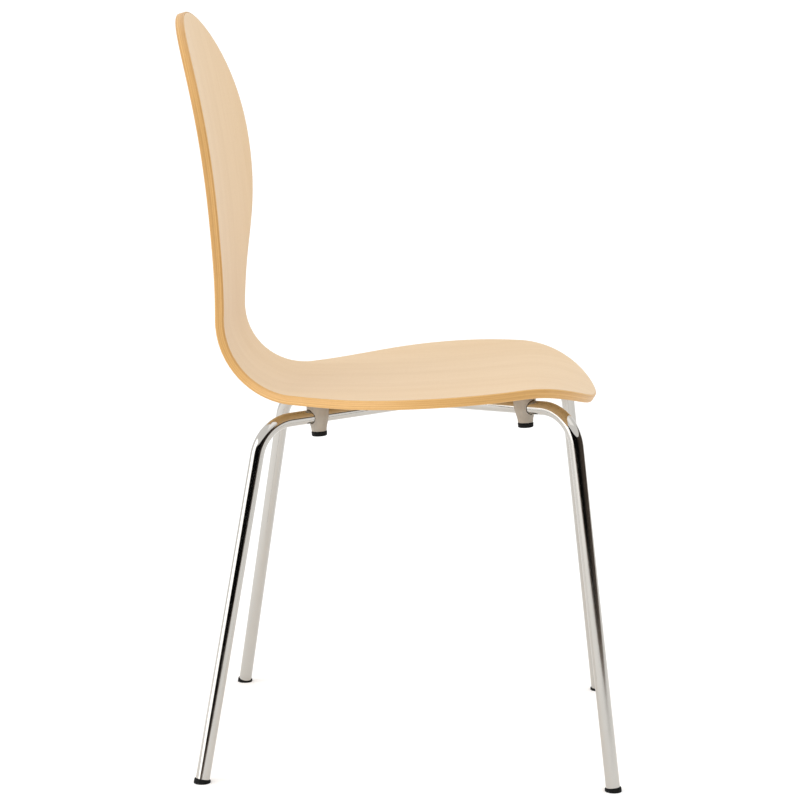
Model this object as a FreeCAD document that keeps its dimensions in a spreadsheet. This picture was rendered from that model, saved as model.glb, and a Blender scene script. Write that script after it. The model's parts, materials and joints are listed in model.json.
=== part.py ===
"""A stacking chair: one moulded plywood shell on two bent tube hoops.

The chair faces -Y and +Z is up.  The design is laid out about the frame's centre, where
the two hoops meet under the seat.  At the end every sub-part is moved by the same shift,
which puts the origin on the floor at the middle of the chair's box.
"""
import FreeCAD, Part

import math
import os

import Sketcher

Vector = FreeCAD.Vector
Rotation = FreeCAD.Rotation
Placement = FreeCAD.Placement

# Driving dimensions, in millimetres, degrees and plain ratios.
SIZES = {
    # tube frame
    "tube_diameter": 16.0,
    "tube_wall": 1.5,
    "tube_height": 410.5,        # centre of the tubes at the middle of the frame
    "frame_tilt": 3.9,           # the top of the frame rises to the front
    "hoop_gap": 0.5,             # between the two hoops where they pass each other
    "middle_bend": 40.0,         # centre-line radius of the bend under the seat
    "leg_bend": 47.0,            # centre-line radius of the bend above a leg
    "rear_foot_reach": 238.5,    # from the frame's centre back to the rear feet
    "front_foot_reach": 223.0,
    "rear_foot_spread": 208.0,   # from the mid-plane out to a foot
    "front_foot_spread": 204.0,
    "rear_top_reach": 178.5,     # from the frame's centre to the corner above a leg
    "front_top_reach": 171.0,
    "rear_top_spread": 138.0,
    "front_top_spread": 155.0,
    # shell: its section on the mid-plane, from the front tip to the top
    "shell_thickness": 10.3,
    "edge_round": 1.5,
    "lip_reach": 203.0,          # from the frame's centre forward to the tip
    "lip_angle": 32.0,           # how steeply the tip falls
    "lip_radius": 134.6,
    "seat_run": 260.2,           # the dished stretch between lip and lumbar bend
    "seat_front_angle": 7.1,
    "seat_rear_angle": 0.15,
    "lumbar_radius": 84.7,
    "back_angle": 90.23,          # where the lumbar bend runs out into the back
    "back_radius": 1204.0,
    "back_rise": 347.9,          # from the end of the lumbar bend to the top
    "seat_dish": 2296.0,         # radius of the seat across the chair
    "back_dish": 1240.0,          # radius of the back across the chair
    "dish_blend": 80.0,          # the dish changes this far past each end of the bend
    # shell: its outline, measured along the section
    "seat_half_width": 257.1,
    "seat_widest": 175.5,        # from the tip
    "waist_half_width": 105.1,
    "waist_before_back": 7.9,    # below the end of the lumbar bend
    "back_half_width": 189.6,
    "back_widest": 151.8,        # below the top
    "tip_fullness": 0.631,        # ratios: how long the outline follows its tangents
    "front_fullness": 0.511,
    "hip_fullness": 0.422,
    "waist_fullness": 0.474,
    "lumbar_fullness": 0.413,
    "side_fullness": 0.552,
    "shoulder_fullness": 0.56,
    "top_fullness": 0.566,
    # centre plate, its screws and their inserts
    "plate_diameter": 84.0,
    "plate_thickness": 3.0,
    "plate_dish": 1.0,           # stock on top, formed to the shell's underside
    "plate_screw_circle": 32.0,  # radius
    "screw_diameter": 5.0,
    "screw_clearance": 0.5,      # on the radius, in plate, spacer and tube
    "screw_head": 9.5,
    "screw_head_height": 2.6,
    "insert_diameter": 7.5,
    "insert_depth": 7.0,
    "insert_recess": 0.2,        # inside the shell, from where its underside is highest
    "screw_short_of_insert": 1.0,
    # spacers and buffers, measured from the centre of the tube
    "rear_spacer_reach": 118.5,  # from the frame's centre along the chair
    "front_spacer_reach": 118.0,
    "spacer_diameter": 26.0,
    "spacer_tip": 17.6,
    "spacer_shoulder": 3.0,      # full diameter down to here
    "spacer_neck": 13.0,         # tip diameter from here down
    "spacer_below": 18.0,
    "spacer_above": 22.0,        # stock, cut off by the shell
    "tube_fit": 0.1,             # on the radius, tube in spacer
    "counterbore": 10.4,
    "head_seat": 11.0,
    "buffer_diameter": 18.0,
    "buffer_height": 5.4,
    "buffer_round": 1.0,
    "buffer_stem": 4.0,
    # foot glides
    "glide_diameter": 19.0,
    "glide_height": 4.2,         # from the end of the tube to the floor
    "glide_round": 1.0,
    "glide_stem": 18.0,
    "stem_fit": 0.1,             # on the radius, stem in tube
}

SIDES = {"left": 1, "right": -1}     # the sitter's left is +X
ENDS = {"rear": 1, "front": -1}      # the rear is +Y


def fill_sheet(doc):
    """Write the driving dimensions to the spreadsheet, one alias to a row."""
    sheet = doc.addObject("Spreadsheet::Sheet", "Sizes")
    for row, (name, value) in enumerate(SIZES.items(), start=1):
        sheet.set(f"A{row}", name)
        sheet.set(f"B{row}", str(value))
        sheet.setAlias(f"B{row}", name)
    doc.recompute()
    return sheet


# ---------------------------------------------------------------- the shell's geometry


class ShellForm:
    """The sitting surface as a formula of the width and the length along the section."""

    def __init__(self, size):
        lip = math.radians(size("lip_angle"))
        front = math.radians(size("seat_front_angle"))
        rear = math.radians(size("seat_rear_angle"))
        back = math.radians(size("back_angle"))
        top = math.acos(math.cos(back) + size("back_rise") / size("back_radius"))
        seat_radius = size("seat_run") / (math.sin(front) + math.sin(rear))
        # each arc: angle at its start, angle at its end, radius (negative turns down)
        self.arcs = [
            (lip, -front, -size("lip_radius")),
            (-front, rear, seat_radius),
            (rear, back, size("lumbar_radius")),
            (back, top, -size("back_radius")),
        ]
        lengths = [abs(radius * (end - start)) for start, end, radius in self.arcs]
        self.length = sum(lengths)
        self.bend_start = lengths[0] + lengths[1]
        self.bend_end = self.bend_start + lengths[2]
        self.thickness = size("shell_thickness")
        self.seat_curve = 0.5 / size("seat_dish")
        self.back_curve = 0.5 / size("back_dish")
        self.blend = size("dish_blend")
        self.origin = (0.0, 0.0)
        self.origin = self.place_over_plate(size, seat_radius, front)

    def place_over_plate(self, size, seat_radius, front):
        """Where the tip lies, so that the underside meets the plate at the centre."""
        tip_to_seat = size("lip_radius") * (math.sin(front) + math.sin(self.arcs[0][0]))
        sine = -math.sin(front) + (size("lip_reach") - tip_to_seat) / seat_radius
        angle = math.asin(sine)
        centre = self.section(lengthwise=size("lip_radius") * (front + self.arcs[0][0])
                              + seat_radius * (angle + front))
        underside = centre[1] - self.thickness / math.cos(angle)
        stack = size("tube_diameter") / 2 + size("plate_thickness")
        plate_top = size("tube_height") + stack / math.cos(math.radians(size("frame_tilt")))
        return (-size("lip_reach"), plate_top - underside)

    def section(self, lengthwise):
        """Y, Z and angle of the mid-plane section; straight beyond both of its ends."""
        along, height = self.origin
        left = lengthwise
        for number, (start, end, radius) in enumerate(self.arcs):
            if left < 0:
                return along + left * math.cos(start), height + left * math.sin(start), start
            span = abs(radius * (end - start))
            angle = start + min(left, span) / radius
            along += radius * (math.sin(angle) - math.sin(start))
            height -= radius * (math.cos(angle) - math.cos(start))
            left -= span
            if left <= 0:
                return along, height, angle
        return along + left * math.cos(angle), height + left * math.sin(angle), angle

    def curve(self, lengthwise):
        """Half the curvature across the chair, blended through the lumbar bend."""
        start = self.bend_start - self.blend
        share = (lengthwise - start) / (self.bend_end + self.blend - start)
        share = min(max(share, 0.0), 1.0)
        share = share * share * (3 - 2 * share)
        return self.seat_curve + (self.back_curve - self.seat_curve) * share

    def point(self, across, lengthwise, depth):
        """A point of the sitting surface, moved in along the surface's normal."""
        along, height, angle = self.section(lengthwise)
        curve = self.curve(lengthwise)
        slope = 2 * curve * across
        unit = 1 / math.sqrt(1 + slope * slope)
        rise = curve * across * across - depth * unit
        return Vector(
            across + depth * slope * unit,
            along - math.sin(angle) * rise,
            height + math.cos(angle) * rise,
        )

    def outline(self, size):
        """The right half of the outline from tip to top, as four Bezier curves."""
        waist_at = self.bend_end - size("waist_before_back")
        back_at = self.length - size("back_widest")
        tip = Vector(0, 0)
        hip = Vector(size("seat_half_width"), size("seat_widest"))
        waist = Vector(size("waist_half_width"), waist_at)
        back = Vector(size("back_half_width"), back_at)
        top = Vector(0, self.length)
        spans = [
            (tip, Vector(hip.x * size("tip_fullness"), 0),
             Vector(0, -hip.y * size("front_fullness")), hip),
            (hip, Vector(0, (waist.y - hip.y) * size("hip_fullness")),
             Vector(0, (hip.y - waist.y) * size("waist_fullness")), waist),
            (waist, Vector(0, (back.y - waist.y) * size("lumbar_fullness")),
             Vector(0, (waist.y - back.y) * size("side_fullness")), back),
            (back, Vector(0, (top.y - back.y) * size("shoulder_fullness")),
             Vector(back.x * size("top_fullness"), 0), top),
        ]
        curves = []
        for start, leave, arrive, end in spans:
            curve = Part.BezierCurve()
            curve.setPoles([start, start + leave, end + arrive, end])
            curves.append(curve)
        return curves


def spread(first, last, count):
    """Evenly spaced values, both ends included."""
    return [first + (last - first) * i / (count - 1) for i in range(count)]


def shell_slab(form, half_width, margin):
    """A solid as thick as the shell, wider and longer than its outline."""
    rows = spread(-margin, form.length + margin, 80)
    columns = spread(-half_width - margin, half_width + margin, 17)
    faces = []
    for depth in (0.0, form.thickness):
        surface = Part.BSplineSurface()
        surface.interpolate([[form.point(w, s, depth) for w in columns] for s in rows])
        faces.append(surface.toShape())
    upper, lower = faces
    for upper_edge, lower_edge in zip(upper.OuterWire.Edges, lower.OuterWire.Edges):
        faces.append(Part.makeRuledSurface(upper_edge, lower_edge))
    skin = Part.makeShell(faces)
    skin.sewShape()
    slab = Part.makeSolid(skin)
    if slab.Volume < 0:
        slab.reverse()
    return slab


def shell_wall(form, size, margin):
    """The closed wall that the outline's normals sweep through the slab."""
    faces = []
    for side in (1, -1):
        for curve in form.outline(size):
            rails = []
            for depth in (-margin, form.thickness + margin):
                points = []
                for share in spread(0.0, 1.0, 15):
                    place = curve.value(share)
                    points.append(form.point(side * place.x, place.y, depth))
                rail = Part.BSplineCurve()
                rail.interpolate(points)
                rails.append(rail.toShape())
            faces.append(Part.makeRuledSurface(rails[0], rails[1]))
    wall = Part.makeShell(faces)
    wall.sewShape()
    return wall


def shell_blank(form, size, slab):
    """The slab inside the wall, with both rims rounded."""
    wall = shell_wall(form, size, margin=6.0)
    pieces, _ = slab.generalFuse([wall])
    middle = form.point(0.0, form.length / 4, form.thickness / 2)
    inner = [piece for piece in pieces.Solids if piece.isInside(middle, 0.01, False)]
    blank = inner[0]
    flats = sorted(blank.Faces, key=lambda face: face.Area)[-2:]
    rims = [edge for face in flats for edge in face.OuterWire.Edges]
    return blank.makeFillet(size("edge_round"), rims).Solids[0]


# ---------------------------------------------------------------- building helpers


def feature(doc, name, shape):
    """A Part::Feature that holds a ready shape."""
    made = doc.addObject("Part::Feature", name)
    made.Shape = shape
    return made


def bound(made, **expressions):
    """Bind properties of an object to the sheet."""
    for prop, text in expressions.items():
        made.setExpression(prop, text)
    return made


def cut(doc, name, base, tool):
    made = doc.addObject("Part::Cut", name)
    made.Base = base
    made.Tool = tool
    return made


def copies(doc, name, blank, places):
    """A group of separate solids: the same blank at each place."""
    doc.recompute()
    shapes = []
    for place in places:
        shape = blank.Shape.copy()
        shape.Placement = place * shape.Placement
        shapes.append(shape)
    return feature(doc, name, Part.makeCompound(shapes))


def turned(doc, name, corners):
    """A body turned about its own Z axis from a profile of (radius, height) expressions."""
    body = doc.addObject("PartDesign::Body", name)
    plane = [part for part in body.Origin.OriginFeatures if part.Role == "XZ_Plane"][0]
    sketch = body.newObject("Sketcher::SketchObject", f"{name}_profile")
    sketch.AttachmentSupport = [(plane, "")]
    sketch.MapMode = "FlatFace"
    values = [Vector(float(sketch.evalExpression(radius)), float(sketch.evalExpression(height)))
              for radius, height in corners]
    count = len(corners)
    for number, value in enumerate(values):
        sketch.addGeometry(Part.LineSegment(value, values[(number + 1) % count]), False)
    for number in range(count):
        following = (number + 1) % count
        sketch.addConstraint(Sketcher.Constraint("Coincident", number, 2, following, 1))
    for number, (radius, height) in enumerate(corners):
        hold_corner(sketch, number, "DistanceX", -2, radius, values[number].x)
        hold_corner(sketch, number, "DistanceY", -1, height, values[number].y)
    turn = body.newObject("PartDesign::Revolution", f"{name}_turn")
    turn.Profile = sketch
    turn.ReferenceAxis = (sketch, ["V_Axis"])
    turn.Angle = 360
    return body


def hold_corner(sketch, line, kind, axis, expression, value):
    """Hold a line's start on an axis, or at an expression's distance from it."""
    if expression == "0":
        sketch.addConstraint(Sketcher.Constraint("PointOnObject", line, 1, axis))
        return
    datum = sketch.addConstraint(Sketcher.Constraint(kind, -1, 1, line, 1, value))
    sketch.setExpression(f"Constraints[{datum}]", expression)


# ---------------------------------------------------------------- the tube frame


class HoopLayout:
    """Where one hoop runs: its corners, its spacers and its feet."""

    def __init__(self, size, frame, end):
        turn = ENDS[end]
        radius = size("tube_diameter") / 2
        bend = size("middle_bend")
        spread_out = size(f"{end}_top_spread")
        reach = size(f"{end}_top_reach")
        # the arm is tangent to the middle bend, whose crest is next to the other hoop's
        crest = size("hoop_gap") / 2 + radius
        away = Vector(spread_out, reach - crest - bend)
        angle = math.atan2(away.y, away.x) + math.asin(bend / away.Length)
        middle = reach - spread_out * math.tan(angle)
        self.frame = frame
        self.turn = turn
        self.angle = angle
        self.middle = frame * Vector(0, turn * middle, 0)
        self.tops = {}
        self.feet = {}
        self.ends = {}
        self.arms = {}
        spacer_reach = size(f"{end}_spacer_reach")
        spacer_out = (spacer_reach - middle) / math.tan(angle)
        for side, sign in SIDES.items():
            top = frame * Vector(sign * spread_out, turn * reach, 0)
            foot = Vector(sign * size(f"{end}_foot_spread"), turn * size(f"{end}_foot_reach"), 0)
            up = (top - foot).normalize()
            self.tops[side] = top
            self.feet[side] = foot
            self.ends[side] = foot + up * size("glide_height")
            self.arms[side] = Vector(sign * spacer_out, turn * spacer_reach, 0)

    def leg(self, side):
        """Placement whose Z axis runs up the leg from the floor."""
        up = self.tops[side] - self.feet[side]
        return Placement(self.feet[side], Rotation(Vector(0, 0, 1), up))

    def spacer(self, side, height):
        """Placement on the arm's centre line, moved along the frame's upright axis."""
        return self.frame * Placement(self.arms[side] + Vector(0, 0, height), Rotation())

    def arm(self, side, length):
        """Placement of a cylinder of this length that lies along the arm at its spacer."""
        sign = SIDES[side]
        along = Vector(sign * math.cos(self.angle), self.turn * math.sin(self.angle), 0)
        start = self.arms[side] - along * length / 2
        return self.frame * Placement(start, Rotation(Vector(0, 0, 1), along))


def rounded_path(corners, radii):
    """A wire of straight runs, joined by tangent arcs at the inner corners."""
    edges = []
    start = corners[0]
    for before, corner, after, radius in zip(corners, corners[1:], corners[2:], radii):
        back = (before - corner).normalize()
        ahead = (after - corner).normalize()
        half = back.getAngle(ahead) / 2
        reach = radius / math.tan(half)
        inward = (back + ahead).normalize()
        crown = corner + inward * (radius / math.sin(half) - radius)
        arc = Part.Arc(corner + back * reach, crown, corner + ahead * reach)
        edges.append(Part.LineSegment(start, corner + back * reach).toShape())
        edges.append(arc.toShape())
        start = corner + ahead * reach
    edges.append(Part.LineSegment(start, corners[-1]).toShape())
    return Part.Wire(edges)


def swept(doc, name, path, layout, radius):
    """A round bar along a path; its radius is an expression."""
    ring = doc.addObject("Part::Circle", f"{name}_section")
    bound(ring, Radius=radius)
    start = layout.ends["left"]
    ring.Placement = Placement(start, Rotation(Vector(0, 0, 1), layout.tops["left"] - start))
    bar = doc.addObject("Part::Sweep", name)
    bar.Sections = [ring]
    bar.Spine = (path, [f"Edge{number + 1}" for number in range(len(path.Shape.Edges))])
    bar.Solid = True
    bar.Frenet = False
    return bar


def cylinder(doc, name, radius, height, place):
    made = doc.addObject("Part::Cylinder", name)
    bound(made, Radius=radius, Height=height)
    made.Placement = place
    return made


def make_hoop(doc, size, end, layout):
    """One bent tube: leg, arm, bend under the seat, arm, leg."""
    corners = [
        layout.ends["left"], layout.tops["left"], layout.middle,
        layout.tops["right"], layout.ends["right"],
    ]
    radii = [size("leg_bend"), size("middle_bend"), size("leg_bend")]
    path = feature(doc, f"{end}_path", rounded_path(corners, radii))
    outer = swept(doc, f"{end}_bar", path, layout, "Sizes.tube_diameter / 2")
    hollow = swept(doc, f"{end}_hollow", path, layout,
                   "Sizes.tube_diameter / 2 - Sizes.tube_wall")
    tools = [hollow]
    for side in SIDES:
        place = layout.spacer(side, -size("tube_diameter"))
        tools.append(cylinder(doc, f"{end}_{side}_screw_way", CLEAR_RADIUS,
                              "2 * Sizes.tube_diameter", place))
    removed = doc.addObject("Part::MultiFuse", f"{end}_hollows")
    removed.Shapes = tools
    return cut(doc, f"{end}_hoop", outer, removed)


# ---------------------------------------------------------------- the small pieces

SCREW_RADIUS = "Sizes.screw_diameter / 2"
CLEAR_RADIUS = "Sizes.screw_diameter / 2 + Sizes.screw_clearance"


def make_plate(doc, size, frame, slab):
    """A round plate on top of both tubes, formed to the shell and drilled for screws."""
    body = doc.addObject("PartDesign::Body", "plate_disc")
    plane = [part for part in body.Origin.OriginFeatures if part.Role == "XY_Plane"][0]
    disc = body.newObject("Sketcher::SketchObject", "disc_outline")
    disc.AttachmentSupport = [(plane, "")]
    disc.MapMode = "FlatFace"
    up = Vector(0, 0, 1)
    disc.addGeometry(Part.Circle(Vector(), up, size("plate_diameter") / 2), False)
    disc.addConstraint(Sketcher.Constraint("Coincident", 0, 3, -1, 1))
    disc.addConstraint(Sketcher.Constraint("Diameter", 0, size("plate_diameter")))
    disc.setExpression("Constraints[1]", "Sizes.plate_diameter")
    pad = body.newObject("PartDesign::Pad", "disc_pad")
    pad.Profile = disc
    bound(pad, Length="Sizes.plate_thickness + Sizes.plate_dish")
    hole = body.newObject("Sketcher::SketchObject", "hole_outline")
    hole.AttachmentSupport = [(plane, "")]
    hole.MapMode = "FlatFace"
    away = size("plate_screw_circle")
    hole.addGeometry(Part.Circle(Vector(away, 0), up, size("screw_diameter")), False)
    hole.addConstraint(Sketcher.Constraint("PointOnObject", 0, 3, -1))
    hole.addConstraint(Sketcher.Constraint("DistanceX", -1, 1, 0, 3, away))
    hole.setExpression("Constraints[1]", "Sizes.plate_screw_circle")
    hole.addConstraint(Sketcher.Constraint("Radius", 0, size("screw_diameter")))
    hole.setExpression("Constraints[2]", CLEAR_RADIUS)
    pocket = body.newObject("PartDesign::Pocket", "screw_hole")
    pocket.Profile = hole
    pocket.Type = "ThroughAll"
    pocket.Reversed = True
    pattern = body.newObject("PartDesign::PolarPattern", "screw_holes")
    pattern.Originals = [pocket]
    pattern.Axis = (disc, ["N_Axis"])
    pattern.Angle = 360
    pattern.Occurrences = 4
    body.Tip = pattern
    body.Placement = frame * Placement(Vector(0, 0, size("tube_diameter") / 2), Rotation())
    return cut(doc, "centre_plate", body, slab)


def make_spacer(doc, size, name, layout, side, slab):
    """A tapered plastic block that holds the tube and bears on the shell."""
    below = "Sizes.spacer_below"
    top = f"{below} + Sizes.spacer_gap_most + Sizes.shell_thickness / 2"
    block = turned(doc, f"{name}_block", [
        ("Sizes.counterbore / 2", "0"),
        ("Sizes.spacer_tip / 2", "0"),
        ("Sizes.spacer_tip / 2", f"{below} - Sizes.spacer_neck"),
        ("Sizes.spacer_diameter / 2", f"{below} - Sizes.spacer_shoulder"),
        ("Sizes.spacer_diameter / 2", top),
        (CLEAR_RADIUS, top),
        (CLEAR_RADIUS, f"{below} - Sizes.head_seat"),
        ("Sizes.counterbore / 2", f"{below} - Sizes.head_seat"),
    ])
    block.Placement = layout.spacer(side, -size("spacer_below"))
    way = cylinder(doc, f"{name}_tube_way", "Sizes.tube_diameter / 2 + Sizes.tube_fit",
                   "2 * Sizes.spacer_diameter", layout.arm(side, 2 * size("spacer_diameter")))
    drilled = cut(doc, f"{name}_drilled", block, way)
    return cut(doc, name, drilled, slab)


def make_buffer(doc, size, name, layout, side):
    """A rubber button under a spacer, on which the next chair rests when stacked."""
    body = turned(doc, name, [
        ("0", "0"),
        ("Sizes.buffer_diameter / 2 - Sizes.buffer_round", "0"),
        ("Sizes.buffer_diameter / 2", "Sizes.buffer_round"),
        ("Sizes.buffer_diameter / 2", "Sizes.buffer_height"),
        ("Sizes.counterbore / 2", "Sizes.buffer_height"),
        ("Sizes.counterbore / 2", "Sizes.buffer_height + Sizes.buffer_stem"),
        ("0", "Sizes.buffer_height + Sizes.buffer_stem"),
    ])
    body.Placement = layout.spacer(side, -size("spacer_below") - size("buffer_height"))
    return body


def make_glide(doc, size, name, layout, side, floor):
    """A plastic foot plugged into the tube's end and flat on the floor."""
    stock = "Sizes.glide_diameter / 2"
    seat = f"{stock} + Sizes.glide_height"
    stem = "Sizes.tube_diameter / 2 - Sizes.tube_wall - Sizes.stem_fit"
    plug = turned(doc, f"{name}_plug", [
        ("0", "0"),
        ("Sizes.glide_diameter / 2", "0"),
        ("Sizes.glide_diameter / 2", f"{seat} - Sizes.glide_round"),
        ("Sizes.glide_diameter / 2 - Sizes.glide_round", seat),
        (stem, seat),
        (stem, f"{seat} + Sizes.glide_stem"),
        ("0", f"{seat} + Sizes.glide_stem"),
    ])
    lower = Placement(Vector(0, 0, -size("glide_diameter") / 2), Rotation())
    plug.Placement = layout.leg(side) * lower
    return cut(doc, name, plug, floor)


def make_screw_blank(doc, name, length):
    """A pan-head screw, head down; its zero is the seat under the head."""
    head = "Sizes.screw_head_height"
    blank = turned(doc, name, [
        ("0", "0"),
        ("Sizes.screw_head / 2", "0"),
        ("Sizes.screw_head / 2", head),
        (SCREW_RADIUS, head),
        (SCREW_RADIUS, f"{head} + {length}"),
        ("0", f"{head} + {length}"),
    ])
    return blank


def make_insert_blank(doc):
    """A threaded bush, with its zero at the lower end."""
    return turned(doc, "insert_blank", [
        (SCREW_RADIUS, "0"),
        ("Sizes.insert_diameter / 2", "0"),
        ("Sizes.insert_diameter / 2", "Sizes.insert_depth"),
        (SCREW_RADIUS, "Sizes.insert_depth"),
    ])


def height_to_shell(slab, place, radius=0.0):
    """Up the frame's normal to the shell's underside, where it is highest on a circle."""
    highest = 0.0
    for quarter in range(4 if radius else 1):
        turn = Rotation(Vector(0, 0, 1), 90 * quarter)
        out = turn * Vector(radius, 0, 0)
        start = place * out
        inside = slab.common(Part.makeLine(start, place * (out + Vector(0, 0, 200))))
        underside = min(start.distanceToPoint(vertex.Point) for vertex in inside.Vertexes)
        highest = max(highest, underside)
    return highest


# ---------------------------------------------------------------- the chair


def build_chair(doc):
    """Build every sub-part about the frame's centre and return them all."""
    sheet = fill_sheet(doc)
    size = sheet.get
    tilt = Rotation(Vector(1, 0, 0), -size("frame_tilt"))
    frame = Placement(Vector(0, 0, size("tube_height")), tilt)
    layouts = {end: HoopLayout(size, frame, end) for end in ENDS}

    form = ShellForm(size)
    slab_shape = shell_slab(form, size("seat_half_width"), margin=14.0)
    slab = feature(doc, "shell_slab", slab_shape)

    spacer_places = [layouts[end].spacer(side, 0) for end in ENDS for side in SIDES]
    circle = size("plate_screw_circle")
    plate_places = [
        frame * Placement(Rotation(Vector(0, 0, 1), 90 * quarter) * Vector(circle, 0, 0),
                          Rotation())
        for quarter in range(4)
    ]
    spacer_gaps = [height_to_shell(slab_shape, place) for place in spacer_places]
    plate_gaps = [height_to_shell(slab_shape, place) for place in plate_places]
    derived = {
        "spacer_gap_least": min(spacer_gaps),
        "spacer_gap_most": max(spacer_gaps),
        "plate_gap_least": min(plate_gaps),
    }
    for row, (name, value) in enumerate(derived.items(), start=len(SIZES) + 1):
        sheet.set(f"A{row}", name)
        sheet.set(f"B{row}", str(value))
        sheet.setAlias(f"B{row}", name)
    doc.recompute()

    parts = []
    for end in ENDS:
        parts.append(make_hoop(doc, size, end, layouts[end]))
    parts.append(make_plate(doc, size, frame, slab))

    floor = doc.addObject("Part::Box", "floor")
    floor.Length = floor.Width = 4000
    floor.Height = 100
    floor.Placement.Base = Vector(-2000, -2000, -100)
    for end in ENDS:
        for side in SIDES:
            corner = f"{end}_{side}"
            parts.append(make_spacer(doc, size, f"spacer_{corner}", layouts[end], side, slab))
            parts.append(make_buffer(doc, size, f"buffer_{corner}", layouts[end], side))
            parts.append(make_glide(doc, size, f"glide_{corner}", layouts[end], side, floor))

    # screws: the plate's start under the plate, the spacers' inside the counterbore
    into_insert = "Sizes.insert_depth - Sizes.screw_short_of_insert"
    plate_screw = make_screw_blank(
        doc, "plate_screw_blank",
        f"Sizes.plate_gap_least - Sizes.tube_diameter / 2 + {into_insert}")
    spacer_screw = make_screw_blank(
        doc, "spacer_screw_blank",
        f"Sizes.head_seat + Sizes.spacer_gap_least + {into_insert}")
    head = size("screw_head_height")
    lift = size("tube_diameter") / 2 - head
    drop = -size("head_seat") - head
    parts.append(copies(doc, "plate_screws", plate_screw,
                        [place * up_by(lift) for place in plate_places]))
    parts.append(copies(doc, "spacer_screws", spacer_screw,
                        [place * up_by(drop) for place in spacer_places]))

    # inserts, and the blind holes that they fill
    blank = make_insert_blank(doc)
    insert_radius = size("insert_diameter") / 2
    insert_places = {}
    for name, starts in {"plate_inserts": plate_places, "spacer_inserts": spacer_places}.items():
        places = []
        for start in starts:
            underside = height_to_shell(slab_shape, start, insert_radius)
            places.append(start * up_by(underside + size("insert_recess")))
        insert_places[name] = places
        parts.append(copies(doc, name, blank, places))
    drill = doc.addObject("Part::Cylinder", "insert_drill")
    bound(drill, Radius="Sizes.insert_diameter / 2",
          Height="Sizes.insert_depth + Sizes.shell_thickness")
    below = up_by(-size("shell_thickness"))
    holes = copies(doc, "insert_holes", drill,
                   [place * below for places in insert_places.values() for place in places])
    board = feature(doc, "shell_board", shell_blank(form, size, slab_shape))
    parts.append(cut(doc, "seat_shell", board, holes))
    return parts


def up_by(height):
    """A shift along the local Z axis."""
    return Placement(Vector(0, 0, height), Rotation())


def centre_on_box(parts):
    """Move all parts along the chair so that their common box is centred on the origin."""
    spots = [spot.y for part in parts for spot in part.Shape.tessellate(0.1)[0]]
    shift = Placement(Vector(0, -(min(spots) + max(spots)) / 2, 0), Rotation())
    for part in parts:
        part.Placement = shift * part.Placement


def check_document(doc, parts):
    """Stop before anything is written if an object failed or a shape is unsound."""
    for made in doc.Objects:
        if "Invalid" in made.State or "Error" in made.State:
            raise RuntimeError(f"{made.Name} did not compute: {made.State}")
    for part in parts:
        shape = part.Shape
        if shape.isNull() or not shape.isValid() or not shape.Solids:
            raise RuntimeError(f"{part.Label} is not a sound solid")


def main():
    os.makedirs("parts", exist_ok=True)
    doc = FreeCAD.newDocument("StackingChair")
    parts = build_chair(doc)
    doc.recompute()
    check_document(doc, parts)
    centre_on_box(parts)
    doc.recompute()
    check_document(doc, parts)
    for part in parts:
        part.Shape.exportStep(f"parts/{part.Label}.step")


main()
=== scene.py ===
"""A stacking chair: a moulded plywood shell on two chromed tube hoops, on a pale floor."""
import json
import math
import random

import bmesh
import bpy
import numpy as np
from mathutils import Matrix, Vector


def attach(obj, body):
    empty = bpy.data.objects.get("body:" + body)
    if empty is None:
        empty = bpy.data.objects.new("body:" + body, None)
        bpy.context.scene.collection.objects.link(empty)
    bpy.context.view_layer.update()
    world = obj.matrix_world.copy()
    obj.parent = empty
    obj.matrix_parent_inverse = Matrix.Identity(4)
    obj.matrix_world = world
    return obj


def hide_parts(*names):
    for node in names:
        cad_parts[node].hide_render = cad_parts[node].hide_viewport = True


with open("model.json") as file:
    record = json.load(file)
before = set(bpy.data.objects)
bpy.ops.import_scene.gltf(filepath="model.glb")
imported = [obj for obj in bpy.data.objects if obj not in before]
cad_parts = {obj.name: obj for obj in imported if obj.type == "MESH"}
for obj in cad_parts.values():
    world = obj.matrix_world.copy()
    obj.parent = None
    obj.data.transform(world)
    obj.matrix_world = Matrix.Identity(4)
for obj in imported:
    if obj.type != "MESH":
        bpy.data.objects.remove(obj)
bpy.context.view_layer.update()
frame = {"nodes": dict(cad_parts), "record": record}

RECORD = frame["record"]
ENDS = {"rear": 1, "front": -1}
SIDES = {"left": 1, "right": -1}

# ------------------------------------------------------------ sizes, in metres and radians

TUBE_RADIUS = 0.008
TUBE_WALL = 0.0015
TUBE_HEIGHT = 0.4105          # centre of the tubes at the frame's centre
FRAME_TILT = math.radians(3.9)
HOOP_GAP = 0.0005
MIDDLE_BEND = 0.040
LEG_BEND = 0.047
TOP_REACH = {"rear": 0.1785, "front": 0.171}
TOP_SPREAD = {"rear": 0.138, "front": 0.155}
SPACER_REACH = {"rear": 0.1185, "front": 0.118}
REAR_FOOT_REACH = 0.2385
GLIDE_RADIUS = 0.0095
GLIDE_HEIGHT = 0.0042
STEM_RADIUS = 0.0064
STEM_LENGTH = 0.016
BORE_DEPTH = 0.022            # how far each tube's bore goes in from its end

PLATE_THICKNESS = 0.003
SCREW_CIRCLE = 0.032
SCREW_HEAD_RADIUS = 0.00475
SCREW_HEAD_HEIGHT = 0.0026

SPACER_RADIUS = 0.013
SPACER_TIP_RADIUS = 0.0088
SPACER_LENGTH = 0.038
SPACER_BELOW = 0.018          # from the centre of the tube down to the spacer's end
COUNTERBORE_RADIUS = 0.0052
COUNTERBORE_DEPTH = 0.007
SEAM_GAP = 0.0006             # drawn around the tube in each spacer
BUFFER_RADIUS = 0.009
BUFFER_HEIGHT = 0.0054
WELD_START = 0.034            # from the middle bend along each arm
WELD_LENGTH = 0.024
WELD_RADIUS = 0.0021

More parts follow.
